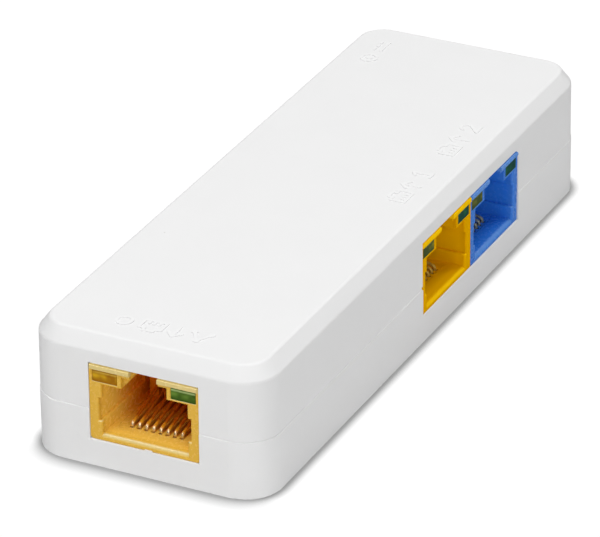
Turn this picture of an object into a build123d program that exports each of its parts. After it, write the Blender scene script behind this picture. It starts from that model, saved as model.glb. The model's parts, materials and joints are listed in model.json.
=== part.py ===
from build123d import *
import os
from math import atan2, cos, degrees, radians, sin, sqrt

# Inline network adapter: a two-shell plastic case around a circuit board with three RJ45 jacks.
# Millimetres. X runs across the case, Y along it with the uplink jack at -Y, Z up from the table.

# ---- Driving dimensions -------------------------------------------------------------------------
LENGTH = 100.0
WIDTH = 33.6
HEIGHT = 18.4
CORNER_R = 5.0
CHAMFER_IN = 1.6          # top chamfer, measured across
CHAMFER_DROP = 1.95       # top chamfer, measured down
DRAFT_IN = 0.13           # how far in the top shell's wall is by the foot of the chamfer
FOOT_IN = 0.08            # how far in it already is at the parting line
RIM_ROUND = 0.12          # softens the bottom shell's rim and its window sills
EDGE_ROUND = 0.6          # softens both edges of the chamfer
PARTING_Z = 8.15
PARTING_GAP = 0.02
WALL = 1.6
FLOOR = 1.5
FOOT_ROUND = 0.15
TONGUE_T = 0.7
TONGUE_H = 1.0
LIP_CLEARANCE = 0.06
MARK_HEIGHT = 0.08
MARK_STROKE = 0.42

BOARD_T = 1.6
BOARD_TOP = 3.9
BOARD_BOTTOM = BOARD_TOP - BOARD_T
BOARD_CLEARANCE = 0.3

JACK_W = 15.4
JACK_H = 10.8
JACK_D = 16.0
JACK_PITCH = 15.5
JACK_RECESS = 0.2
WINDOW_GAP = 0.05
JACK_EDGE = 0.25
UPLINK_X = 0.05
PORT_1_Y = 4.55
PORT_2_Y = PORT_1_Y + JACK_PITCH
PORT_SILL_Z = 4.05
WINDOW_ROUND = 1.1        # the port window's far top corner
NIB_W = 1.05
NIB_H = 0.16
EAR_OUT = 0.3             # a small ear on the near port, at the parting line
EAR_H = 0.4

# Inside a jack: heights are above the table, depths are measured in from the mouth.
CAVITY_HALF_W = 6.05
CAVITY_FLOOR = 4.8
CAVITY_ROOF = 11.9
CAVITY_D = 13.6
RAIL_HALF_W = 6.5         # the side walls step out between two guide rails
RAIL_LOW = 6.6
RAIL_HIGH = 9.9
RAIL_D = CAVITY_D - 2
RAIL_ROUND = 0.22         # the upper edge of the ledge under each rail
FLOOR_ROUND = 0.7         # guides a plug up onto the cavity floor
SIDE_ROUND = 0.3          # the side walls at the mouth
MOUTH_ROUND = 0.12        # every other edge of a jack's face
LATCH_HALF_W = 3.2
LATCH_TOP = 13.5
LATCH_NECK_HALF_W = 2.0
LATCH_D = 12.6
LED_INNER = 3.78
LED_OUTER = 7.3
LED_LOW = 12.17
LED_HIGH = 13.82
LED_CLEARANCE = 0.03
LED_LENS_D = 7.0
LED_LENS_RECESS = 0.03
BEAD_INNER = 1.97
BEAD_R = 0.33
BEAD_Z = 14.2
BEAD_PROUD = 0.2
PEG_R = 1.2
PEG_U = 6.45
PEG_DEPTH = 7.5

# Contacts: eight round wires in each jack, bent back over a tight loop near the mouth.
WIRE_COUNT = 8
WIRE_PITCH = 1.016
WIRE_R = 0.22
WIRE_LOW_Z = 4.4
LOOP_DEPTH = 3.35
LOOP_RISE = 0.91
LOOP_R = 0.45
SPRING_RISE = 13.0        # degrees, at rest
SPRING_START = 0.66       # along the sloping run, from the corner of the loop
SPRING_END_DEPTH = 12.0
LEAD_END = SPRING_START - 0.06
TAIL_DEPTHS = (13.9, 15.2)
TAIL_LOW_Z = 1.75
CARRIER_HALF_W = 5.2
CARRIER_FRONT = 2.75
CARRIER_BACK = 15.75
CARRIER_LOW = BOARD_TOP + 0.05
GROOVE_HALF_W = 0.3
COMB_FRONT = 11.2
COMB_BACK = 12.75
COMB_WALL = 0.26
COMB_BAR_LOW = 7.7
COMB_TOP = 8.2

# DC inlet, in the left wall near the back end.
INLET_Y = 40.5
INLET_Z = 9.4
INLET_BODY_W = 9.0
INLET_BODY_H = 10.2
INLET_BODY_D = 11.5
INLET_NOSE_R = 3.9
INLET_BORE_R = 3.15
INLET_BORE_D = 10.0
INLET_PIN_R = 1.0
INLET_PIN_FREE = 8.6
INLET_ROOT_R = 1.3
INLET_TERMINAL_T = 0.3

# Screws: driven from below, through the board, into the roof posts.
SCREW_PLACES = ((-11.6, -43.6), (11.6, -43.6), (-11.6, 29.6), (11.6, 43.6))
SCREW_HEAD_R = 2.0
SCREW_HEAD_H = 1.2
SCREW_SHANK_R = 1.0
SCREW_TOP_Z = 11.0
WELL_R = 2.3
WELL_H = 1.4
FOOT_BOSS_R = 3.3
ROOF_POST_R = 2.2

# Flat pins of the chips and modules.
PIN_T = 0.15
PIN_HALF_W = 0.17
PIN_REACH = 0.5
PIN_FOOT = 0.65
PIN_ARM_Z = 0.6
PIN_END_MARGIN = 0.7
BODY_LIFT = 0.1           # from the board to a body's underside

LABEL_SIZE = (22.0, 46.0)
LABEL_Y = -2.0
LABEL_RECESS = 0.3
LABEL_T = 0.15

TOUCH = 0.001             # closer than this counts as the same place

half_l = LENGTH / 2
half_w = WIDTH / 2
inner_half_l = half_l - WALL
inner_half_w = half_w - WALL


# ---- Helpers ------------------------------------------------------------------------------------
def span_box(xs, ys, zs):
    """A box between two values on each axis."""
    size = [high - low for low, high in (xs, ys, zs)]
    centre = [(high + low) / 2 for low, high in (xs, ys, zs)]
    return Pos(*centre) * Box(*size)


def slab(length, width, corner, low, high, taper=0.0):
    """A rounded plate lying flat, from low to high, its sides leaning in by taper degrees."""
    outline = Pos(0, 0, low) * RectangleRounded(width, length, corner)
    return extrude(outline, high - low, taper=taper)


def post(x, y, radius, low, high):
    """An upright cylinder."""
    return Pos(x, y, (low + high) / 2) * Cylinder(radius, high - low)


def rod(start, end, radius):
    """A straight round bar between two points."""
    start, end = Vector(*start), Vector(*end)
    plane = Plane(origin=start, z_dir=end - start)
    return Solid.make_cylinder(radius, (end - start).length, plane)


def wire_along(points, wire_r, bend_r):
    """A round wire that follows the points, with a bend at each corner."""
    path = FilletPolyline(*points, radius=bend_r)
    section = Plane(origin=path @ 0, z_dir=path % 0) * Circle(wire_r)
    return sweep(section, path)


def edges_at(shape, axis, value):
    """The edges that lie wholly at one value of X, Y or Z."""
    found = ShapeList()
    for edge in shape.edges():
        box = edge.bounding_box()
        ends = (getattr(box.min, axis), getattr(box.max, axis))
        if all(abs(end - value) < TOUCH for end in ends):
            found.append(edge)
    return found


def mirrored_pair(shape):
    """The shape and its mirror image across the local YZ plane."""
    return [shape, mirror(shape, Plane.YZ)]


def joined(shapes):
    """One part from several that touch or overlap."""
    first, *rest = shapes
    return first + rest if rest else first


def save(node, shapes):
    """Write one node, as one solid or as a group of separate solids."""
    shapes = shapes if isinstance(shapes, list) else [shapes]
    solids = [solid for shape in shapes for solid in shape.solids()]
    body = Compound(children=solids) if len(solids) > 1 else solids[0]
    export_step(body, f"parts/{node}.step")


# ---- Case ---------------------------------------------------------------------------------------
def window_cutters():
    """The wall openings for the uplink jack, the pair of port jacks and the DC inlet."""
    uplink_half = JACK_W / 2 + WINDOW_GAP
    top = BOARD_TOP + JACK_H + WINDOW_GAP
    uplink = span_box(
        (UPLINK_X - uplink_half, UPLINK_X + uplink_half),
        (-half_l - 1, -inner_half_l + 1),
        (BOARD_TOP - WINDOW_GAP, top),
    )
    low_y = PORT_1_Y - uplink_half
    high_y = PORT_2_Y + uplink_half
    ports = span_box((inner_half_w - 1, half_w + 1), (low_y, high_y), (PORT_SILL_Z, top))
    far_top = edges_at(ports, "Z", top).sort_by(Axis.Y)[-1]
    ports = fillet(far_top, WINDOW_ROUND)
    ear = port_ear(gap=0.05, out=1.0)
    outside = (-half_w - 1, INLET_Y, INLET_Z)
    inside = (-inner_half_w + 1, INLET_Y, INLET_Z)
    inlet = rod(outside, inside, INLET_NOSE_R + 0.1)
    return [uplink, ports, ear, inlet]


def port_ear(gap=0.0, out=0.0):
    """The ear on the near port's side, or with a gap all round the notch that it lies in."""
    side = PORT_1_Y - JACK_W / 2
    return span_box(
        (half_w - WALL - gap, half_w - JACK_RECESS + out),
        (side - EAR_OUT - gap, side + 0.2),
        (PARTING_Z - EAR_H / 2 - gap, PARTING_Z + EAR_H / 2 + gap),
    )


def port_relief():
    """Room behind the ports' low sill, so that the two jacks stand down to the board."""
    side = JACK_W / 2 + WINDOW_GAP
    return span_box(
        (inner_half_w - 3, half_w - JACK_RECESS + 0.03),
        (PORT_1_Y - side, PORT_2_Y + side),
        (BOARD_TOP - WINDOW_GAP, PARTING_Z),
    )


def window_nib():
    """The small tooth of the case under the uplink jack's face."""
    return span_box(
        (UPLINK_X, UPLINK_X + NIB_W),
        (-half_l, -half_l + JACK_RECESS - 0.03),
        (BOARD_TOP - 1, BOARD_TOP + NIB_H),
    )


def tongue_ring(outward, low, high):
    """The band inside the wall where the shells overlap, grown outward by a clearance."""
    outer = 2 * (WALL - TONGUE_T - outward)
    ring = slab(LENGTH - outer, WIDTH - outer, CORNER_R - outer / 2, low, high)
    core = slab(LENGTH - 2 * WALL, WIDTH - 2 * WALL, CORNER_R - WALL, low - 1, high + 1)
    return ring - core


def bottom_cover():
    shell = slab(LENGTH, WIDTH, CORNER_R, 0, PARTING_Z)
    shell = fillet(shell.edges().group_by(Axis.Z)[0], FOOT_ROUND)
    shell = fillet(shell.edges().group_by(Axis.Z)[-1], RIM_ROUND)
    shell -= slab(LENGTH - 2 * WALL, WIDTH - 2 * WALL, CORNER_R - WALL, FLOOR, HEIGHT)
    shell += tongue_ring(0, PARTING_Z - 1, PARTING_Z + TONGUE_H)
    for x, y in SCREW_PLACES:
        shell += post(x, y, FOOT_BOSS_R, FLOOR - 0.5, BOARD_BOTTOM)
    for y in (-20.0, 15.0, 42.0):
        shell += span_box((-9.0, 9.0), (y - 0.5, y + 0.5), (FLOOR - 0.5, BOARD_BOTTOM - 0.9))
    for x, y in SCREW_PLACES:
        shell -= post(x, y, WELL_R, -1, WELL_H)
        shell -= post(x, y, SCREW_SHANK_R + 0.2, 0, BOARD_TOP)
    label_w, label_l = LABEL_SIZE
    shell -= Pos(0, LABEL_Y, 0) * slab(label_l, label_w, 1.5, -1, LABEL_RECESS)
    shell = fillet(sill_edges(shell - window_cutters()), RIM_ROUND)
    return shell - port_relief() + window_nib()


def sill_edges(shell):
    """The outer edges of the windows' sills."""
    front = edges_at(shell, "Y", -half_l).filter_by_position(Axis.Z, BOARD_TOP - 1, BOARD_TOP)
    side = edges_at(shell, "X", half_w).filter_by_position(Axis.Z, BOARD_TOP, PORT_SILL_Z + TOUCH)
    return front.filter_by(Axis.X) + side.filter_by(Axis.Y)


def top_cover():
    wall_low = PARTING_Z + PARTING_GAP
    wall_top = HEIGHT - CHAMFER_DROP
    lean = degrees(atan2(DRAFT_IN - FOOT_IN, wall_top - wall_low))
    slope = degrees(atan2(CHAMFER_IN - DRAFT_IN, CHAMFER_DROP))
    shell = slab(LENGTH - 2 * FOOT_IN, WIDTH - 2 * FOOT_IN, CORNER_R - FOOT_IN, wall_low, wall_top, lean)
    shell += slab(
        LENGTH - 2 * DRAFT_IN, WIDTH - 2 * DRAFT_IN, CORNER_R - DRAFT_IN, wall_top, HEIGHT, slope
    )
    shell = fillet(edges_at(shell, "Z", wall_top) + edges_at(shell, "Z", HEIGHT), EDGE_ROUND)
    cavity = slab(LENGTH - 2 * WALL, WIDTH - 2 * WALL, CORNER_R - WALL, PARTING_Z - 1, HEIGHT - WALL)
    shell -= chamfer(cavity.edges().group_by(Axis.Z)[-1], 0.7)
    shell -= tongue_ring(LIP_CLEARANCE, PARTING_Z - 1, PARTING_Z + TONGUE_H + 0.15)
    for x, y in SCREW_PLACES:
        shell += post(x, y, ROOF_POST_R, BOARD_TOP, HEIGHT - WALL)
        shell -= post(x, y, SCREW_SHANK_R + 0.02, BOARD_TOP - 1, SCREW_TOP_Z + 0.5)
    return shell - window_cutters() + raised_marks()


def cover_screws():
    """Four pan-head screws, each with a cross recess."""
    screws = []
    for x, y in SCREW_PLACES:
        head = post(x, y, SCREW_HEAD_R, WELL_H - SCREW_HEAD_H, WELL_H)
        head = chamfer(head.edges().group_by(Axis.Z)[0], 0.35)
        screw = head + post(x, y, SCREW_SHANK_R, WELL_H, SCREW_TOP_Z)
        screw = chamfer(screw.edges().group_by(Axis.Z)[-1], 0.4)
        slot_z = (WELL_H - SCREW_HEAD_H - 0.1, WELL_H - SCREW_HEAD_H + 0.6)
        screw -= span_box((x - 1.1, x + 1.1), (y - 0.2, y + 0.2), slot_z)
        screw -= span_box((x - 0.2, x + 0.2), (y - 1.1, y + 1.1), slot_z)
        screws.append(screw)
    return screws


def blank_label():
    width, length = LABEL_SIZE
    low = LABEL_RECESS - LABEL_T
    return Pos(0, LABEL_Y, 0) * slab(length - 1, width - 1, 1.2, low, LABEL_RECESS)


# ---- Raised marks on the lid --------------------------------------------------------------------
def stroke(start, end):
    """A round-ended straight stroke between two points of a flat mark."""
    (x0, y0), (x1, y1) = start, end
    length = sqrt((x1 - x0) ** 2 + (y1 - y0) ** 2)
    angle = degrees(atan2(y1 - y0, x1 - x0))
    return Pos((x0 + x1) / 2, (y0 + y1) / 2) * Rot(0, 0, angle) * SlotCenterToCenter(length, MARK_STROKE)


def stroke_chain(points):
    """Strokes that join the points in order."""
    return [stroke(start, end) for start, end in zip(points, points[1:])]


def ring_mark(x, radius):
    """A small ring, centred at mid height."""
    return [Pos(x, 0) * (Circle(radius) - Circle(radius - MARK_STROKE))]


def socket_mark(x):
    """A socket's outline with its latch notch and three contacts."""
    outline = [(-1.5, -1.3), (1.5, -1.3), (1.5, 0.7), (0.7, 0.7), (0.7, 1.3)]
    outline += [(-0.7, 1.3), (-0.7, 0.7), (-1.5, 0.7), (-1.5, -1.3)]
    contacts = [stroke((u, -1.3), (u, -0.6)) for u in (-0.7, 0.0, 0.7)]
    return [Pos(x, 0) * line for line in stroke_chain(outline) + contacts]


def arrow_mark(x):
    """An arrow that points up."""
    lines = [stroke((0, -1.3), (0, 1.3))] + stroke_chain([(-0.95, 0.3), (0, 1.3), (0.95, 0.3)])
    return [Pos(x, 0) * line for line in lines]


def link_mark(x):
    """Three nodes joined by two branches."""
    lines = stroke_chain([(-1.2, -1.0), (0, 1.0), (1.2, -1.0)])
    dots = [Pos(u, v) * Circle(0.45) for u, v in ((-1.2, -1.0), (0, 1.0), (1.2, -1.0))]
    return [Pos(x, 0) * shape for shape in lines + dots]


def numeral_one(x):
    lines = stroke_chain([(-0.6, 0.8), (0.1, 1.3), (0.1, -1.3)]) + [stroke((-0.6, -1.3), (0.8, -1.3))]
    return [Pos(x, 0) * line for line in lines]


def numeral_two(x):
    bow = [(0.85 * cos(radians(a)), 0.5 + 0.8 * sin(radians(a))) for a in (160, 110, 60, 10, -30)]
    lines = stroke_chain(bow + [(-0.85, -1.3), (0.9, -1.3)])
    return [Pos(x, 0) * line for line in lines]


def direct_current_mark(x):
    """A solid bar over three dashes."""
    dashes = [stroke((u - 0.3, -0.5), (u + 0.3, -0.5)) for u in (-1.2, 0.0, 1.2)]
    return [Pos(x, 0) * line for line in [stroke((-1.5, 0.5), (1.5, 0.5))] + dashes]


def raised_marks():
    """The four marks: each is drawn along local X, then turned to face the edge beside it."""
    front = link_mark(-5.2) + arrow_mark(-1.9) + socket_mark(1.5) + ring_mark(5.4, 1.2)
    first = socket_mark(-3.4) + arrow_mark(0.0) + numeral_one(3.7)
    second = socket_mark(-3.4) + arrow_mark(0.0) + numeral_two(3.7)
    inlet = direct_current_mark(-2.2) + ring_mark(2.0, 1.3) + [Pos(2.0, 0) * Circle(0.45)]
    places = (
        (front, 0.0, -44.2, 180),
        (first, 11.2, 4.9, 90),
        (second, 11.2, 20.2, 90),
        (inlet, -10.9, 40.5, -90),
    )
    marks = []
    for shapes, x, y, turn in places:
        flat = joined(shapes)
        placed = Pos(x, y, HEIGHT - 0.1) * Rot(0, 0, turn) * flat
        marks.append(extrude(placed, MARK_HEIGHT + 0.1))
    return marks


# ---- Circuit board ------------------------------------------------------------------------------
def main_board():
    length = 2 * (inner_half_l - BOARD_CLEARANCE)
    width = 2 * (inner_half_w - BOARD_CLEARANCE)
    board = slab(length, width, CORNER_R - WALL, BOARD_BOTTOM, BOARD_TOP)
    holes = [post(x, y, SCREW_SHANK_R + 0.15, 0, BOARD_TOP + 1) for x, y in SCREW_PLACES]
    for place in JACK_PLACES.values():
        pegs = mirrored_pair(post(PEG_U, PEG_DEPTH, PEG_R + 0.08, 0, BOARD_TOP + 1))
        tails = [post(u, depth, WIRE_R + 0.15, 0, BOARD_TOP + 1) for u, depth in tail_places()]
        holes += [place * hole for hole in pegs + tails]
    holes += [post(x, y, 0.75, 0, BOARD_TOP + 1) for x, y in inlet_tail_places()]
    return board - holes


# ---- RJ45 jack, drawn with its mouth at local Y = 0, facing -Y ----------------------------------
JACK_PLACES = {
    "uplink": Pos(UPLINK_X, -half_l + JACK_RECESS, 0),
    "port_1": Pos(half_w - JACK_RECESS, PORT_1_Y, 0) * Rot(0, 0, 90),
    "port_2": Pos(half_w - JACK_RECESS, PORT_2_Y, 0) * Rot(0, 0, 90),
}


def wire_places():
    """The eight wires' places across the jack."""
    middle = (WIRE_COUNT - 1) / 2
    return [(index - middle) * WIRE_PITCH for index in range(WIRE_COUNT)]


def tail_places():
    """Where the solder tails pass the board, in two staggered rows."""
    return [(u, TAIL_DEPTHS[index % 2]) for index, u in enumerate(wire_places())]


def slope_point(along):
    """Depth and height of a point on the sloping run, measured from the corner of the loop."""
    rise = radians(SPRING_RISE)
    return LOOP_DEPTH + along * cos(rise), WIRE_LOW_Z + LOOP_RISE + along * sin(rise)


def mouth_edges(body):
    """The edges of the openings in the jack's face, without its outline."""
    half = JACK_W / 2 - JACK_EDGE - TOUCH
    low, high = BOARD_TOP + TOUCH, BOARD_TOP + JACK_H - TOUCH
    face = edges_at(body, "Y", 0)
    return [edge for edge in face if abs(edge.center().X) < half and low < edge.center().Z < high]


def is_floor_edge(edge):
    """Whether a mouth edge is the front of the cavity floor."""
    return abs(edge.center().Z - CAVITY_FLOOR) < TOUCH


def is_side_edge(edge):
    """Whether a mouth edge is the front of a side wall."""
    beside = abs(edge.center().X) > CAVITY_HALF_W - TOUCH and edge.center().Z < CAVITY_ROOF
    return beside and edge.bounding_box().size.X < TOUCH


def round_mouth(body):
    """Rounds the openings in the jack's face, the floor and the sides more than the rest."""
    body = fillet([edge for edge in mouth_edges(body) if is_floor_edge(edge)], FLOOR_ROUND)
    body = fillet([edge for edge in mouth_edges(body) if is_side_edge(edge)], SIDE_ROUND)
    return fillet(mouth_edges(body), MOUTH_ROUND)


def cavity_cutters():
    """The room for a plug's body, and the wider room between the guide rails."""
    height = CAVITY_ROOF - CAVITY_FLOOR
    plug = Pos(0, CAVITY_FLOOR + height / 2) * Rectangle(2 * CAVITY_HALF_W, height)
    rail_height = RAIL_HIGH - RAIL_LOW
    rails = Pos(0, RAIL_LOW + rail_height / 2) * Rectangle(2 * RAIL_HALF_W, rail_height)
    outline = plug + rails
    step = [corner for corner in outline.vertices() if abs(corner.Y - RAIL_LOW) < TOUCH]
    ledges = [corner for corner in step if abs(corner.X) < RAIL_HALF_W - TOUCH]
    mouth = Plane.XZ * fillet(ledges, RAIL_ROUND)
    return [
        extrude(mouth, 1) + extrude(mouth, -RAIL_D),
        span_box((-CAVITY_HALF_W, CAVITY_HALF_W), (1, CAVITY_D), (CAVITY_FLOOR, CAVITY_ROOF)),
    ]


def jack_housing(far_top_round):
    """The moulded body. far_top_round follows the rounded corner of the window, where it has one."""
    half = JACK_W / 2
    top = BOARD_TOP + JACK_H
    block = span_box((-half, half), (-BEAD_PROUD, JACK_D), (BOARD_TOP, top))
    far_top = block.edges().filter_by(Axis.Y).sort_by(lambda edge: edge.center().X + edge.center().Z)[-1]
    if far_top_round:
        block = fillet(far_top, WINDOW_ROUND - WINDOW_GAP)
        block = chamfer(edges_at(block, "X", -half).filter_by(Axis.Y), JACK_EDGE)
    else:
        block = chamfer(block.edges().filter_by(Axis.Y), JACK_EDGE)
    body = block - span_box((-half - 1, half + 1), (-1, 0), (0, HEIGHT))
    latch = span_box((-LATCH_HALF_W, LATCH_HALF_W), (-1, LATCH_D), (CAVITY_ROOF - 1, LATCH_TOP))
    neck = span_box((-LATCH_NECK_HALF_W, LATCH_NECK_HALF_W), (-1, LATCH_D), (LATCH_TOP - 1, top + 1))
    carrier_room = span_box(
        (-CARRIER_HALF_W - 0.05, CARRIER_HALF_W + 0.05),
        (CARRIER_FRONT - 0.05, JACK_D + 1),
        (BOARD_TOP - 1, CAVITY_FLOOR + 0.5),
    )
    led_room = span_box((LED_INNER, LED_OUTER), (-1, JACK_D + 1), (LED_LOW, LED_HIGH))
    body -= cavity_cutters() + [latch, neck] + mirrored_pair(led_room)
    body = round_mouth(body) - carrier_room
    bead = rod((BEAD_INNER, 0, BEAD_Z), (half - 0.15, 0, BEAD_Z), BEAD_R)
    beads = [pair & block for pair in mirrored_pair(bead)]
    peg = post(PEG_U, PEG_DEPTH, PEG_R, BOARD_BOTTOM + 0.1, BOARD_TOP + 0.5)
    return body + beads + mirrored_pair(chamfer(peg.edges().group_by(Axis.Z)[0], 0.3))


def contact_carrier():
    """The insert under the cavity floor that holds the wires in grooves."""
    width = (-CARRIER_HALF_W, CARRIER_HALF_W)
    block = span_box(width, (CARRIER_FRONT, CARRIER_BACK), (CARRIER_LOW, CAVITY_FLOOR))
    for u, tail in tail_places():
        sides = (u - GROOVE_HALF_W, u + GROOVE_HALF_W)
        groove_z = (WIRE_LOW_Z - 0.26, CAVITY_FLOOR + 1)
        block -= span_box(sides, (LOOP_DEPTH - 0.4, tail + 0.4), groove_z)
        block -= post(u, tail, WIRE_R + 0.06, CARRIER_LOW - 1, WIRE_LOW_Z)
    return block


def contact_comb():
    """The comb behind the cavity, with a slot for the tip of each wire."""
    width = (-CARRIER_HALF_W, CARRIER_HALF_W)
    comb = span_box(width, (COMB_FRONT, CAVITY_D - 0.05), (CAVITY_FLOOR + 0.02, COMB_TOP))
    half = (WIRE_PITCH - COMB_WALL) / 2
    for u in wire_places():
        sides = (u - half, u + half)
        comb -= span_box(sides, (COMB_FRONT - 1, COMB_BACK), (CAVITY_FLOOR - 1, COMB_BAR_LOW))
    return comb


def contact_leads():
    """The fixed length of each wire: solder tail, run under the carrier's grooves, and loop."""
    end_depth, end_z = slope_point(LEAD_END)
    leads = []
    for u, tail in tail_places():
        points = [
            (u, tail, TAIL_LOW_Z),
            (u, tail, WIRE_LOW_Z),
            (u, LOOP_DEPTH, WIRE_LOW_Z),
            (u, LOOP_DEPTH, WIRE_LOW_Z + LOOP_RISE),
            (u, end_depth, end_z),
        ]
        leads.append(wire_along(points, WIRE_R, (0.4, LOOP_R, LOOP_R)))
    return leads


def contact_springs():
    """The moving length of each wire, from the loop to the comb."""
    start_depth, start_z = slope_point(SPRING_START)
    end_depth, end_z = slope_point((SPRING_END_DEPTH - LOOP_DEPTH) / cos(radians(SPRING_RISE)))
    springs = []
    for u in wire_places():
        wire = rod((u, start_depth, start_z), (u, end_depth, end_z), WIRE_R)
        wire += Pos(u, end_depth, end_z) * Sphere(WIRE_R)
        springs.append(wire)
    return springs


def led_lens(side):
    """A clear light pipe behind one of the two windows: side is -1 for left, 1 for right."""
    gap = LED_CLEARANCE
    lens = span_box(
        (LED_INNER + gap, LED_OUTER - gap),
        (LED_LENS_RECESS, LED_LENS_D),
        (LED_LOW + gap, LED_HIGH - gap),
    )
    lens = fillet(lens.edges().filter_by(Axis.Z).group_by(Axis.Y)[0], 0.1)
    return lens if side > 0 else mirror(lens, Plane.YZ)


def led_leads():
    """Two wires from each LED, back through its tunnel and down behind the housing."""
    leads = []
    middle = (LED_INNER + LED_OUTER) / 2
    for u in (middle - 0.9, middle + 0.9):
        points = [
            (u, LED_LENS_D + 0.02, (LED_LOW + LED_HIGH) / 2),
            (u, JACK_D + 0.5, (LED_LOW + LED_HIGH) / 2),
            (u, JACK_D + 0.5, BOARD_TOP + 0.02),
        ]
        leads += mirrored_pair(wire_along(points, 0.2, 0.35))
    return leads


# ---- DC inlet -----------------------------------------------------------------------------------
def inlet_tail_places():
    """Where the inlet's three terminals pass the board."""
    back = -inner_half_w + INLET_BODY_D - 1.5
    return [(back, INLET_Y), (back - 4.2, INLET_Y + 3.2), (back - 6.4, INLET_Y)]


def inlet_housing():
    face = -half_w + 0.15
    back = -inner_half_w + 0.15 + INLET_BODY_D
    body = span_box(
        (-inner_half_w + 0.15, back),
        (INLET_Y - INLET_BODY_W / 2, INLET_Y + INLET_BODY_W / 2),
        (BOARD_TOP, BOARD_TOP + INLET_BODY_H),
    )
    body = chamfer(body.edges().filter_by(Axis.X).group_by(Axis.Z)[-1], 1.0)
    body += rod((face, INLET_Y, INLET_Z), (face + 3, INLET_Y, INLET_Z), INLET_NOSE_R)
    body -= rod((face - 1, INLET_Y, INLET_Z), (face + INLET_BORE_D, INLET_Y, INLET_Z), INLET_BORE_R)
    body -= rod((face, INLET_Y, INLET_Z), (back + 1, INLET_Y, INLET_Z), INLET_ROOT_R)
    slot_x = (face + 2.6, face + INLET_BORE_D)
    body -= span_box(slot_x, (INLET_Y - 1.1, INLET_Y + 1.1), (BOARD_TOP - 1, INLET_Z))
    return body


def inlet_pin():
    """The centre pin with a rounded tip, riveted through the back of the housing."""
    tip = -half_w + 0.15 + INLET_BORE_D - INLET_PIN_FREE
    back = -inner_half_w + 0.15 + INLET_BODY_D
    bore_end = -half_w + 0.15 + INLET_BORE_D
    pin = rod((tip, INLET_Y, INLET_Z), (back, INLET_Y, INLET_Z), INLET_PIN_R)
    pin = fillet(pin.edges().group_by(Axis.X)[0], 0.5)
    pin += rod((bore_end, INLET_Y, INLET_Z), (back, INLET_Y, INLET_Z), INLET_ROOT_R)
    head_end = back + 0.4
    head = rod((back, INLET_Y, INLET_Z), (head_end, INLET_Y, INLET_Z), 1.7)
    strap = span_box(
        (head_end, head_end + INLET_TERMINAL_T),
        (INLET_Y - 1, INLET_Y + 1),
        (BOARD_TOP + 0.02, INLET_Z + 1.5),
    )
    return pin + head + strap


def inlet_spring():
    """The leaf that presses on a plug's sleeve from below, and its tail to the board."""
    front = -half_w + 0.15 + 3.2
    profile = Polyline(
        (front, INLET_Z - INLET_BORE_R - 0.9),
        (front + 3.0, INLET_Z - INLET_BORE_R + 0.35),
        (front + 5.8, INLET_Z - INLET_BORE_R - 0.6),
        (front + 5.8, BOARD_TOP + 0.2),
    )
    leaf = Plane.XZ.offset(-INLET_Y) * trace(profile, 0.3)
    return extrude(leaf, 0.8, both=True)


# ---- Parts on the board -------------------------------------------------------------------------
def moulded_block(x, y, width, length, height):
    """A chip or module body with a bevelled top and a shallow waist line."""
    low = BOARD_TOP + BODY_LIFT
    body = Pos(x, y, low + height / 2) * Box(width, length, height)
    body = chamfer(body.edges().group_by(Axis.Z)[-1], 0.25)
    dot = post(x - width / 2 + 1.2, y + length / 2 - 1.2, 0.4, low + height - 0.1, low + height + 1)
    return body - dot


def gull_wing_pin(x, y, side):
    """One flat pin from a body's side at x: an arm out, a leg down and a foot on the board."""
    low = BOARD_TOP + 0.01
    arm_low = low + PIN_ARM_Z
    leg_in = x + side * PIN_REACH
    leg_out = leg_in + side * PIN_T
    toe = leg_out + side * PIN_FOOT
    width = (y - PIN_HALF_W, y + PIN_HALF_W)
    arm = span_box(sorted((x, leg_out)), width, (arm_low, arm_low + PIN_T))
    leg = span_box(sorted((leg_in, leg_out)), width, (low, arm_low + PIN_T))
    foot = span_box(sorted((leg_in, toe)), width, (low, low + PIN_T))
    return arm + leg + foot


def side_pins(x, y, width, length, count):
    """Rows of pins along the two sides that face -X and +X."""
    run = length - 2 * PIN_END_MARGIN
    places = [y - run / 2 + run * index / (count - 1) for index in range(count)]
    return [gull_wing_pin(x + side * (width / 2 + 0.01), v, side) for v in places for side in (-1, 1)]


def end_pins(x, y, width, length, count):
    """The same pins along the two sides that face -Y and +Y."""
    turned = side_pins(0, 0, length, width, count)
    return [Pos(x, y, 0) * Rot(0, 0, 90) * pin for pin in turned]


def capacitor(x, y, radius, height):
    """An electrolytic can with a rolled waist and a scored top."""
    low = BOARD_TOP + 0.05
    can = post(x, y, radius, low, low + height)
    can = fillet(can.edges().group_by(Axis.Z)[-1], 0.4)
    waist = Pos(x, y, low + 1.2) * Torus(radius + 0.25, 0.45)
    score_z = (low + height - 0.15, low + height + 1)
    score = span_box((-radius * 0.7, radius * 0.7), (-0.12, 0.12), score_z)
    return can - waist - [Pos(x, y, 0) * score, Pos(x, y, 0) * Rot(0, 0, 90) * score]


def inductor_core(x, y):
    """The square ferrite drum of the power inductor."""
    low = BOARD_TOP + 0.05
    flange = span_box((x - 4.5, x + 4.5), (y - 4.5, y + 4.5), (low, low + 1.1))
    flange = chamfer(flange.edges().filter_by(Axis.Z), 1.2)
    return flange + post(x, y, 2.4, low, low + 4.6) + Pos(0, 0, 3.5) * flange


def inductor_winding(x, y):
    """Stacked turns of wire around the drum."""
    low = BOARD_TOP + 0.05 + 1.1
    turns = [Pos(x, y, low + 0.3 + 0.58 * index) * Torus(3.2, 0.28) for index in range(4)]
    sleeve = post(x, y, 3.2, low + 0.05, low + 2.3) - post(x, y, 2.45, low - 1, low + 3)
    return joined([sleeve] + turns)


def crystal_can(x, y):
    low = BOARD_TOP + 0.05
    flange = Pos(x, y, 0) * slab(11.0, 4.6, 2.2, low, low + 0.4)
    can = Pos(x, y, 0) * slab(10.2, 3.8, 1.85, low, low + 3.4)
    return flange + fillet(can.edges().group_by(Axis.Z)[-1], 0.35)


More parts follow.
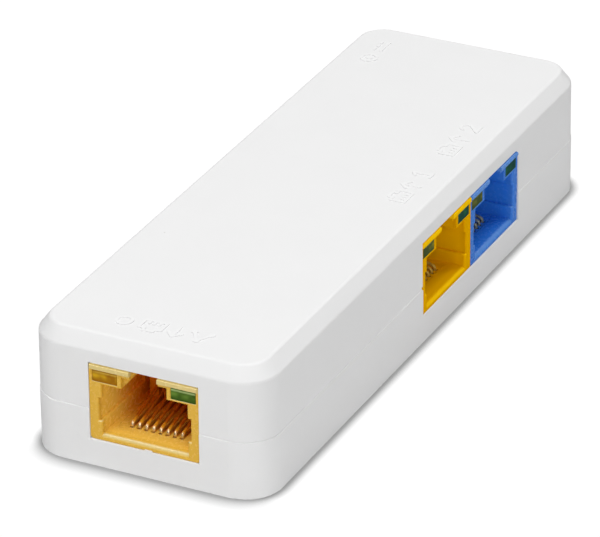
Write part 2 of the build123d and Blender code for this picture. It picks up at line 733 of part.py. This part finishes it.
def diodes():
    """Four rectifier diodes behind the DC inlet."""
    bodies = []
    for y in (34.8, 38.3):
        for x in (1.2, 6.0):
            body = Pos(x, y, BOARD_TOP + 1.1) * Box(4.2, 2.5, 2.0)
            bodies.append(chamfer(body.edges().group_by(Axis.Z)[-1], 0.3))
    return bodies


def chip_parts():
    """Small resistors and capacitors, in rows beside the larger parts."""
    rows = (
        (-12.5, -38.6, 4, 0),
        (-12.5, 0.0, 8, 0),
        (-12.5, 15.6, 5, 0),
        (8.4, -19.2, 4, 0),
        (-6.0, -4.6, 4, 90),
    )
    chips = []
    for x, y, count, turn in rows:
        for index in range(count):
            chip = Pos(0, index * 1.75, BOARD_TOP + 0.4) * Box(1.6, 0.8, 0.7)
            chips.append(Pos(x, y, 0) * Rot(0, 0, -turn) * chip)
    return chips


# ---- Write every node ---------------------------------------------------------------------------
os.makedirs("parts", exist_ok=True)

save("top_cover", top_cover())
save("bottom_cover", bottom_cover())
save("cover_screws", cover_screws())
save("blank_label", blank_label())
save("main_board", main_board())

for jack, place in JACK_PLACES.items():
    pieces = {
        "housing": [jack_housing(far_top_round=jack == "port_2")],
        "contact_carrier": [contact_carrier()],
        "contact_comb": [contact_comb()],
        "contact_leads": contact_leads(),
        "contact_springs": contact_springs(),
        "led_left": [led_lens(-1)],
        "led_right": [led_lens(1)],
        "led_leads": led_leads(),
    }
    if jack == "port_1":
        pieces["housing"][0] += place.inverse() * port_ear()
    for name, shapes in pieces.items():
        save(f"{jack}_{name}", [place * shape for shape in shapes])

save("dc_inlet_housing", inlet_housing())
save("dc_inlet_pin", inlet_pin())
save("dc_inlet_spring", inlet_spring())

MODULES = {
    "uplink_transformer": (3.4, -25.6, 15.0, 7.2, "ends"),
    "port_1_transformer": (-4.6, PORT_1_Y, 7.2, 13.0, "sides"),
    "port_2_transformer": (-4.6, PORT_2_Y, 7.2, 13.0, "sides"),
}
for name, (x, y, width, length, pin_side) in MODULES.items():
    save(name, moulded_block(x, y, width, length, 4.8))
    pins = side_pins if pin_side == "sides" else end_pins
    save(f"{name}_pins", pins(x, y, width, length, 9))

save("switch_chip", moulded_block(0.0, -12.6, 9.0, 9.0, 1.2))
save("switch_chip_pins", side_pins(0.0, -12.6, 9.0, 9.0, 12) + end_pins(0.0, -12.6, 9.0, 9.0, 12))
save("power_chip", moulded_block(-3.0, 30.4, 4.0, 5.0, 1.3))
save("power_chip_pins", side_pins(-3.0, 30.4, 4.0, 5.0, 4))
save("crystal_can", crystal_can(-11.0, -14.0))
save("capacitors", [capacitor(x, y, 3.1, 7.2) for x, y in ((11.2, -8.6), (11.6, 33.8), (3.4, 44.0))])
save("power_inductor_core", inductor_core(-10.2, -25.6))
save("power_inductor_winding", inductor_winding(-10.2, -25.6))
save("rectifier_diodes", diodes())
save("chip_parts", chip_parts())
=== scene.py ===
import bpy
import json
from math import cos, radians, sin
from mathutils import Matrix, Vector


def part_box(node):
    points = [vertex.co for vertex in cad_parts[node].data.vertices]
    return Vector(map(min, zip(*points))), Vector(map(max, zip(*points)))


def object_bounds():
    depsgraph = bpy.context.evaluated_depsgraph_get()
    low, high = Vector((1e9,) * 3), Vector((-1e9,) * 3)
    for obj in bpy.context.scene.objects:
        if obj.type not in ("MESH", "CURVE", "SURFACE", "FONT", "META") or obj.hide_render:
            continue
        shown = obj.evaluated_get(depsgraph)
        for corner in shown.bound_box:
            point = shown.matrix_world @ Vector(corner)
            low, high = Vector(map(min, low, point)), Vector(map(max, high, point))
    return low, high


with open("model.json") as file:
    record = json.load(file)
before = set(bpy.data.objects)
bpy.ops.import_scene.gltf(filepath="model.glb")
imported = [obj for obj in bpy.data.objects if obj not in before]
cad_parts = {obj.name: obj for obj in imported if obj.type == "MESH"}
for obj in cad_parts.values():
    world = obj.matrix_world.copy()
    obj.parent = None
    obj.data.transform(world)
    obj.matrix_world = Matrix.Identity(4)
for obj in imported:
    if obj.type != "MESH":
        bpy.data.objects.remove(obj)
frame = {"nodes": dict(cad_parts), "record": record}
cad_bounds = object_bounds()
nodes = frame["nodes"]

MM = 0.001


# ---- Camera -------------------------------------------------------------------------------------
# A long lens from the front right, a little above, aimed near the middle of the case.
VIEW_AZIMUTH = radians(26.55)
VIEW_ELEVATION = radians(27.77)
VIEW_ROLL = radians(-0.67)
VIEW_DISTANCE = 608.7 * MM
VIEW_LENS = 272.6
VIEW_TARGET = Vector((-2.87, 0.0, 5.21)) * MM


def add_camera():
    """A camera at the view's azimuth and elevation, rolled a little about its own axis."""
    back = Vector((
        sin(VIEW_AZIMUTH) * cos(VIEW_ELEVATION),
        -cos(VIEW_AZIMUTH) * cos(VIEW_ELEVATION),
        sin(VIEW_ELEVATION),
    ))
    side = Vector((0, 0, 1)).cross(back).normalized()
    up = back.cross(side)
    right = side * cos(VIEW_ROLL) + up * sin(VIEW_ROLL)
    top = up * cos(VIEW_ROLL) - side * sin(VIEW_ROLL)
    data = bpy.data.cameras.new("camera")
    data.lens = VIEW_LENS
    data.sensor_width = 36.0
    data.clip_end = 10.0
    camera = bpy.data.objects.new("camera", data)
    camera.matrix_world = Matrix((right, top, back)).transposed().to_4x4()
    camera.matrix_world.translation = VIEW_TARGET + back * VIEW_DISTANCE
    bpy.context.scene.collection.objects.link(camera)
    bpy.context.scene.camera = camera


# ---- Lights and floor ---------------------------------------------------------------------------
ROOM_LIGHT = 0.06         # what the room adds to the light
ROOM_SEEN = 0.9           # how bright it looks behind the object

# Each softbox: its place and size in metres, and its power in watts.
SOFTBOXES = {
    "key_box": ((-0.15, -0.35, 1.0), (1.0, 0.9), 11.0),
    "right_box": ((0.7, -0.7, 0.5), (0.6, 0.5), 3.4),
    "back_box": ((0.24, 0.66, 0.84), (0.45, 0.45), 4.2),
}

FLOOR_SIZE = 6.0
FLOOR_WHITE = 1.03        # just over white, as in an overexposed picture
FLOOR_MIRRORED = 0.15     # how much of the floor shows in glossy reflections
FRONT_SHADOW = 3.6 * MM   # the contact shadow reaches further in front than beside the case
SIDE_SHADOW = 1.85 * MM
SHADOW_TURN = 2.0 * MM    # the one changes into the other over this much each way
SHADOW_FROM = 0.56        # how open the floor is where the shadow is deepest
SHADOW_TO = 0.935         # and where it ends
FRONT_LEVEL = 0.47        # brightness of the floor where the shadow is deepest
SIDE_LEVEL = 0.33
SHADOW_SAMPLES = 16


def add_softbox(name, place, size, power):
    """A rectangular area light, in metres and watts, that faces the object."""
    data = bpy.data.lights.new(name, "AREA")
    data.shape = "RECTANGLE"
    data.size, data.size_y = size
    data.energy = power
    light = bpy.data.objects.new(name, data)
    light.location = place
    light.rotation_euler = (-Vector(place)).to_track_quat("-Z", "Y").to_euler()
    bpy.context.scene.collection.objects.link(light)


def add_surroundings():
    """Soft studio light: most of it from above, the rest from the right and from behind."""
    world = bpy.data.worlds.new("room")
    world.use_nodes = True
    tree = world.node_tree
    background = tree.nodes["Background"]
    background.inputs["Color"].default_value = (1.0, 1.0, 1.0, 1.0)
    rays = tree.nodes.new("ShaderNodeLightPath")
    strength = tree.nodes.new("ShaderNodeMapRange")
    tree.links.new(rays.outputs["Is Camera Ray"], strength.inputs["Value"])
    strength.inputs["To Min"].default_value = ROOM_LIGHT
    strength.inputs["To Max"].default_value = ROOM_SEEN
    tree.links.new(strength.outputs["Result"], background.inputs["Strength"])
    bpy.context.scene.world = world
    bpy.context.scene.view_settings.view_transform = "Standard"
    for name, (place, size, power) in SOFTBOXES.items():
        add_softbox(name, place, size, power)


def add_floor():
    """A pale table top, white to the camera, with a narrow contact shadow round the case."""
    bpy.ops.mesh.primitive_plane_add(size=FLOOR_SIZE, location=(0, 0, 0))
    floor = bpy.context.object
    floor.name = "floor"
    look = Look("floor_white", (0.92, 0.92, 0.92), 0.7)
    look.vary_colour(40, 0.004)
    rays = look.node("ShaderNodeLightPath")
    unmirrored = look.maths("MULTIPLY", rays.outputs["Is Glossy Ray"], 1 - FLOOR_MIRRORED)
    look.tint(unmirrored, (0.0, 0.0, 0.0))
    front = cad_bounds[0][1]
    around = (look.place("Y"), front - SHADOW_TURN, front + SHADOW_TURN)
    reach = look.ramp(*around, FRONT_SHADOW, SIDE_SHADOW)
    deepest = look.ramp(*around, FRONT_LEVEL, SIDE_LEVEL)
    shade = look.node("ShaderNodeAmbientOcclusion", Distance=reach)
    shade.samples = SHADOW_SAMPLES
    level = look.ramp(shade.outputs["AO"], SHADOW_FROM, SHADOW_TO, deepest, FLOOR_WHITE)
    glow = look.node("ShaderNodeEmission", Strength=level)
    blend = look.tree.nodes.new("ShaderNodeMixShader")
    look.tree.links.new(rays.outputs["Is Camera Ray"], blend.inputs[0])
    look.tree.links.new(look.shader.outputs[0], blend.inputs[1])
    look.tree.links.new(glow.outputs[0], blend.inputs[2])
    look.tree.links.new(blend.outputs[0], look.tree.nodes["Material Output"].inputs["Surface"])
    floor.data.materials.append(look.material)


# ---- Materials ----------------------------------------------------------------------------------
class Look:
    """One procedural material. Sizes are in millimetres of the object's own frame."""

    def __init__(self, name, colour, roughness, metallic=0.0):
        self.material = bpy.data.materials.new(name)
        self.material.use_nodes = True
        self.tree = self.material.node_tree
        self.shader = self.tree.nodes["Principled BSDF"]
        self.colour = tuple(colour) + (1.0,)
        self.shader.inputs["Base Color"].default_value = self.colour
        self.shader.inputs["Roughness"].default_value = roughness
        self.shader.inputs["Metallic"].default_value = metallic
        self.roughness = roughness
        self.coords = self.tree.nodes.new("ShaderNodeTexCoord").outputs["Object"]
        self.colour_from = None
        self.height_from = None

    def node(self, kind, **sockets):
        """A node with the named inputs linked or set."""
        made = self.tree.nodes.new(kind)
        for key, value in sockets.items():
            self.feed(made.inputs[key.replace("_", " ")], value)
        return made

    def feed(self, socket, value):
        if isinstance(value, bpy.types.NodeSocket):
            self.tree.links.new(value, socket)
        else:
            socket.default_value = value

    def maths(self, operation, first, second=0.0):
        made = self.tree.nodes.new("ShaderNodeMath")
        made.operation = operation
        for socket, value in zip(made.inputs, (first, second)):
            self.feed(socket, value)
        return made.outputs[0]

    def noise(self, size, detail=2.0, stretch=(1.0, 1.0, 1.0)):
        """Noise from 0 to 1 whose lumps are about this many millimetres across."""
        mapping = self.node("ShaderNodeMapping", Vector=self.coords, Scale=stretch)
        made = self.node(
            "ShaderNodeTexNoise", Vector=mapping.outputs[0], Scale=1 / (size * MM), Detail=detail)
        return made.outputs[0]

    def ramp(self, value, low, high, to_low=0.0, to_high=1.0):
        """The value spread from one range onto another, held at both ends."""
        made = self.tree.nodes.new("ShaderNodeMapRange")
        for socket, number in zip(made.inputs, (value, low, high, to_low, to_high)):
            self.feed(socket, number)
        return made.outputs[0]

    def place(self, axis):
        """The point's own X, Y or Z, in metres."""
        return self.node("ShaderNodeSeparateXYZ", Vector=self.coords).outputs[axis]

    def depth(self, jack):
        """How far in from a jack's mouth the point is, in metres."""
        low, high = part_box(f"{jack}_housing")
        if jack == "uplink":
            return self.maths("SUBTRACT", self.place("Y"), low[1])
        return self.maths("SUBTRACT", high[0], self.place("X"))

    def highlight_edges(self):
        """1 where a rounded edge faces up and outward, 0 on level and on upright faces: where the
        painted highlight goes.
        """
        geometry = self.node("ShaderNodeNewGeometry")
        up = self.node("ShaderNodeSeparateXYZ", Vector=geometry.outputs["Normal"]).outputs["Z"]
        return self.maths("MULTIPLY", self.ramp(up, 0.2, 0.6), self.ramp(up, 0.99, 0.85))

    def band(self, axis, centre, half):
        """1 on a level of one axis, in millimetres, falling to 0 at half above and below."""
        away = self.maths("ABSOLUTE", self.maths("SUBTRACT", self.place(axis), centre * MM))
        return self.ramp(away, half * MM, 0.0)

    def mix(self, factor, first, second):
        made = self.tree.nodes.new("ShaderNodeMix")
        made.data_type = "RGBA"
        self.feed(made.inputs["Factor"], factor)
        self.feed(made.inputs[6], first)
        self.feed(made.inputs[7], second)
        return made.outputs[2]

    def tint(self, factor, colour):
        """Lays a colour over the base where factor is high."""
        below = self.colour_from or self.colour
        self.colour_from = self.mix(factor, below, tuple(colour) + (1.0,))
        self.feed(self.shader.inputs["Base Color"], self.colour_from)

    def vary_colour(self, size, amount, stretch=(1.0, 1.0, 1.0)):
        """Uneven colour: lighter and darker by amount, in lumps of this size."""
        lump = self.noise(size, 3.0, stretch)
        for sign in (1, -1):
            share = self.ramp(lump, 0.5, 0.5 + 0.25 * sign)
            goal = [min(1.0, max(0.0, c * (1 + sign * amount * 2))) for c in self.colour[:3]]
            self.tint(self.maths("MULTIPLY", share, 0.5), goal)

    def specks(self, spacing, radius, colour):
        """Rare small specks of dust or pigment."""
        cells = self.node("ShaderNodeTexVoronoi", Vector=self.coords, Scale=1 / (spacing * MM))
        dot = self.ramp(cells.outputs["Distance"], radius / spacing, radius / spacing * 0.5)
        chosen = self.tree.nodes.new("ShaderNodeSeparateColor")
        self.tree.links.new(cells.outputs["Color"], chosen.inputs[0])
        rare = self.ramp(chosen.outputs[0], 0.72, 0.74)
        self.tint(self.maths("MULTIPLY", dot, rare), colour)

    def vary_roughness(self, size, amount, stretch=(1.0, 1.0, 1.0)):
        lump = self.noise(size, 3.0, stretch)
        spread = self.ramp(lump, 0.3, 0.7, self.roughness - amount, self.roughness + amount)
        self.feed(self.shader.inputs["Roughness"], spread)

    def bump(self, size, depth, detail=2.0, stretch=(1.0, 1.0, 1.0)):
        """Relief of this depth in millimetres, laid over any relief before it."""
        lump = self.noise(size, detail, stretch)
        made = self.node("ShaderNodeBump", Height=lump, Distance=depth * MM)
        if self.height_from:
            self.tree.links.new(self.height_from, made.inputs["Normal"])
        self.height_from = made.outputs["Normal"]
        self.feed(self.shader.inputs["Normal"], self.height_from)


# Heights that the materials follow.
MARK_FACE = 0.02 * MM     # faces of the raised marks, counted down from the highest point
MARK_FOOT = 0.07 * MM
BEAD_FOOT = 13.9 * MM     # where the bead along the top of each jack starts
BEAD_BLEND = 0.1 * MM
LED_CUP_Z = 13.0          # middle of the cup that shows in each LED, in millimetres
LED_HIGHLIGHT_Z = 13.55        # and of the painted highlight along its upper edge

# Where each painted glow, shade, highlight and reflection begins and ends, from and to, counted in
# from the mouth of a jack.
INNER_GLOW = (0.6 * MM, 1.4 * MM)
DEEP_SHADE = (4.5 * MM, 11.0 * MM)
EDGE_HIGHLIGHT = (0.9 * MM, 0.6 * MM)
WIRE_REFLECTION = (3.4 * MM, 3.8 * MM)
WIRE_SHADE = (4.0 * MM, 4.9 * MM)


def white_case():
    """Satin moulded plastic, a trace lighter on the raised marks, with rare specks of dust."""
    look = Look("case_white", (0.765, 0.765, 0.765), 0.6)
    look.shader.inputs["Specular IOR Level"].default_value = 0.35
    look.vary_colour(9.0, 0.006)
    top = cad_bounds[1][2]
    look.tint(look.ramp(look.place("Z"), top - MARK_FOOT, top - MARK_FACE), (0.785, 0.785, 0.785))
    look.specks(11.0, 0.13, (0.45, 0.43, 0.40))
    look.vary_roughness(1.2, 0.06)
    look.bump(0.35, 0.006)
    look.bump(6.0, 0.02)
    return look.material


def jack_plastic(jack, colour, gloss, painted_glow, painted_shade, edge):
    """Moulded plastic with a painted glow within the jack, painted shade towards the back, and a
    painted highlight at the mouth on the bead and on rounded edges that face up.
    """
    look = Look(f"{jack}_plastic", colour, 0.26)
    look.vary_colour(2.2, 0.02, (1.0, 1.0, 2.5))
    depth = look.depth(jack)
    # painted glow: a brighter, richer colour within the jack, standing in for light bounced round
    # the cavity
    look.tint(look.ramp(depth, *INNER_GLOW), painted_glow)
    # painted shade: darker and redder towards the back of the jack
    look.tint(look.ramp(depth, *DEEP_SHADE), painted_shade)
    # painted highlight: a lighter tone on the bead along the top and on up-facing rounded edges
    # near the mouth
    bead = look.ramp(look.place("Z"), BEAD_FOOT - BEAD_BLEND, BEAD_FOOT)
    painted_highlight = look.maths("MAXIMUM", look.highlight_edges(), bead)
    look.tint(look.maths("MULTIPLY", painted_highlight, look.ramp(depth, *EDGE_HIGHLIGHT)), edge)
    look.vary_roughness(0.6, 0.05)
    look.bump(1.6, 0.007)
    look.shader.inputs["Specular IOR Level"].default_value = gloss
    return look.material


def contact_metal(name, colour, roughness, metallic=1.0):
    """Gold-plated spring wire. Gives the look, so that more can be laid over it."""
    look = Look(name, colour, roughness, metallic)
    look.vary_colour(0.5, 0.06)
    look.vary_roughness(0.3, 0.06)
    look.bump(0.12, 0.001)
    return look


def uplink_contacts():
    """Bright loops, then a painted reflection of the socket's orange on the wires, then painted
    shade further back.
    """
    look = contact_metal("contact_gold", (0.97, 0.86, 0.64), 0.3)
    depth = look.depth("uplink")
    socket_reflection = look.ramp(depth, *WIRE_REFLECTION)
    # painted reflection: the wires take on the socket's orange and lose most of their metal sheen
    look.tint(socket_reflection, (1.0, 0.50, 0.03))
    # painted shade: the wires go dark brown further in
    look.tint(look.ramp(depth, *WIRE_SHADE), (0.58, 0.14, 0.003))
    look.feed(look.shader.inputs["Metallic"], look.ramp(socket_reflection, 0.0, 1.0, 1.0, 0.15))
    return look.material


def light_pipe(name, colour, glow, edge_highlight):
    """Unlit clear resin: a paler cup shows through it, and a painted highlight lies along its upper
    edge.
    """
    look = Look(name, colour, 0.3)
    cup = look.ramp(look.noise(1.6, 1.0), 0.4, 0.65)
    look.tint(look.maths("MULTIPLY", look.band("Z", LED_CUP_Z, 0.6), cup), glow)
    # painted highlight along the upper edge of the lens
    highlight_patches = look.ramp(look.noise(1.1, 1.0), 0.35, 0.6)
    look.tint(look.maths("MULTIPLY", look.band("Z", LED_HIGHLIGHT_Z, 0.22), highlight_patches), edge_highlight)
    look.bump(0.5, 0.01)
    look.shader.inputs["Specular IOR Level"].default_value = 0.08
    return look.material


def plain_metal(name, colour, roughness):
    """Plated metal with fine streaks and a few dull patches."""
    look = Look(name, colour, roughness, 1.0)
    look.vary_colour(0.8, 0.05)
    look.vary_roughness(0.4, 0.1, (1.0, 1.0, 4.0))
    look.bump(0.1, 0.002)
    return look.material


def dark_moulding(name, colour, roughness):
    """Black plastic or resin with a fine moulded grain."""
    look = Look(name, colour, roughness)
    look.vary_colour(1.0, 0.15)
    look.vary_roughness(0.5, 0.08)
    look.bump(0.15, 0.006)
    return look.material


def circuit_board():
    """Green solder mask with paler copper tracks under it."""
    look = Look("board_green", (0.015, 0.16, 0.06), 0.35)
    tracks = look.node("ShaderNodeTexBrick", Vector=look.coords, Scale=1 / (3.0 * MM))
    look.tint(look.maths("MULTIPLY", tracks.outputs["Fac"], 0.5), (0.05, 0.32, 0.14))
    look.bump(0.8, 0.01)
    return look.material


def paper_label():
    """Blank matte paper with a fine grain."""
    look = Look("label_paper", (0.72, 0.73, 0.74), 0.6)
    look.vary_colour(3.0, 0.01)
    look.bump(0.2, 0.004, 4.0)
    return look.material


def node_materials():
    """The material of each slot in the record."""
    return {
        "case_white": white_case(),
        "label": paper_label(),
        "screw_steel": plain_metal("screw_steel", (0.50, 0.50, 0.52), 0.32),
        "board": circuit_board(),
        "inlet_black": dark_moulding("inlet_black", (0.018, 0.018, 0.02), 0.35),
        "inlet_metal": plain_metal("inlet_metal", (0.78, 0.76, 0.70), 0.2),
        # Per jack: painted glow within, painted shade at the back, and a painted highlight at the
        # mouth.
        "jack_gold": jack_plastic(
            "uplink", (0.755, 0.44, 0.045), gloss=0.6,
            painted_glow=(1.0, 0.64, 0.10), painted_shade=(0.98, 0.31, 0.003), edge=(0.72, 0.56, 0.21)),
        "jack_yellow": jack_plastic(
            "port_1", (0.74, 0.37, 0.0), gloss=0.0,
            painted_glow=(0.86, 0.46, 0.0), painted_shade=(0.76, 0.39, 0.0), edge=(0.93, 0.555, 0.004)),
        "jack_blue": jack_plastic(
            "port_2", (0.045, 0.20, 0.68), gloss=0.25,
            painted_glow=(0.03, 0.20, 0.76), painted_shade=(0.02, 0.17, 0.76), edge=(0.11, 0.29, 0.72)),
        # Each light pipe: a paler cup, and a painted highlight along its upper edge.
        "led_amber": light_pipe(
            "led_amber", (0.33, 0.13, 0.001), glow=(0.64, 0.38, 0.01), edge_highlight=(0.62, 0.39, 0.05)),
        "led_green": light_pipe(
            "led_green", (0.04, 0.088, 0.008), glow=(0.14, 0.25, 0.035), edge_highlight=(0.42, 0.53, 0.20)),
        "led_olive": light_pipe(
            "led_olive", (0.05, 0.08, 0.015), glow=(0.24, 0.23, 0.02), edge_highlight=(0.20, 0.22, 0.06)),
        "led_teal": light_pipe(
            "led_teal", (0.002, 0.06, 0.042), glow=(0.01, 0.15, 0.06), edge_highlight=(0.03, 0.15, 0.09)),
        "contact_gold": uplink_contacts(),
        "pin_tin": plain_metal("pin_tin", (0.72, 0.71, 0.69), 0.3),
        "chip_black": dark_moulding("chip_black", (0.025, 0.025, 0.028), 0.55),
        "crystal_metal": plain_metal("crystal_metal", (0.75, 0.74, 0.71), 0.25),
        "capacitor_can": plain_metal("capacitor_can", (0.78, 0.78, 0.80), 0.3),
        "ferrite": dark_moulding("ferrite", (0.05, 0.05, 0.055), 0.6),
        "copper": plain_metal("copper", (0.75, 0.34, 0.14), 0.28),
        "chip_ceramic": dark_moulding("chip_ceramic", (0.35, 0.26, 0.17), 0.5),
    }


def dress_cad_nodes():
    """The slot's material on every CAD node, and in the two side jacks darker wire copies with
    painted shade and a painted reflection of each jack's colour.
    """
    materials = node_materials()
    painted_shade_wires = {
        # darker copies of the wire metal: painted shade, tinted yellow and grey-blue as a painted
        # reflection of each side jack
        "port_1": contact_metal("contact_port_1_painted_shade", (0.62, 0.43, 0.07), 0.4, 0.4).material,
        "port_2": contact_metal("contact_port_2_painted_shade", (0.32, 0.33, 0.26), 0.4, 0.4).material,
    }
    for entry in frame["record"]["subparts"]:
        name, slot = entry["node"], entry["material_slot"]
        chosen = materials[slot]
        if slot == "contact_gold":
            chosen = painted_shade_wires.get(name[:6], chosen)
        mesh = nodes[name].data
        mesh.materials.clear()
        mesh.materials.append(chosen)


add_camera()
add_surroundings()
add_floor()
dress_cad_nodes()
